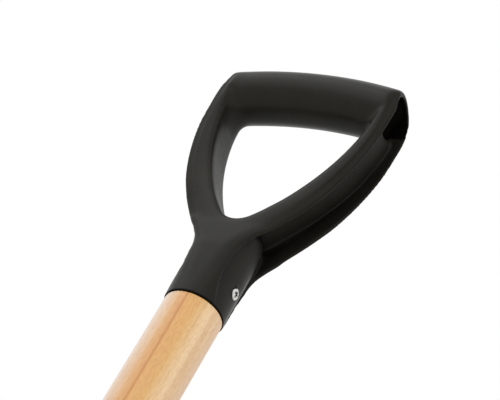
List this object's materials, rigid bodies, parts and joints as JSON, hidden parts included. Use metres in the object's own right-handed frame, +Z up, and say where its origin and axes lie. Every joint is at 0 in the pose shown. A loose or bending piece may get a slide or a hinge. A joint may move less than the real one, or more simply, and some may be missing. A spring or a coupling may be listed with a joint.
{
  "type": "garden spade",
  "caption": "Digging spade with a moulded D-grip, straight ash shaft, tapered steel socket and dished blade with foot treads.",
  "frame": {"origin": "on the shaft's axis, in the middle of the straight wood that a tool clip holds", "axes": "+Z up the shaft towards the grip, X across the crossbar and the blade, -Y the blade's hollow front"},
  "size_m": [0.192, 0.0428, 1.0415],
  "materials": {
    "moulded_grip": "satin moulded",
    "plated_screw": "zinc plated",
    "ash": "clear lacquer",
    "coated_steel": "baked epoxy coating",
    "rivet_steel": "plain"
  },
  "bodies": {
    "root": {"grip": "moulded_grip", "grip_screw": "plated_screw", "shaft": "ash", "socket": "coated_steel", "blade": "coated_steel", "tread_right": "coated_steel", "tread_left": "coated_steel", "rivet_upper": "rivet_steel", "rivet_lower": "rivet_steel"}
  },
  "joints": []
}
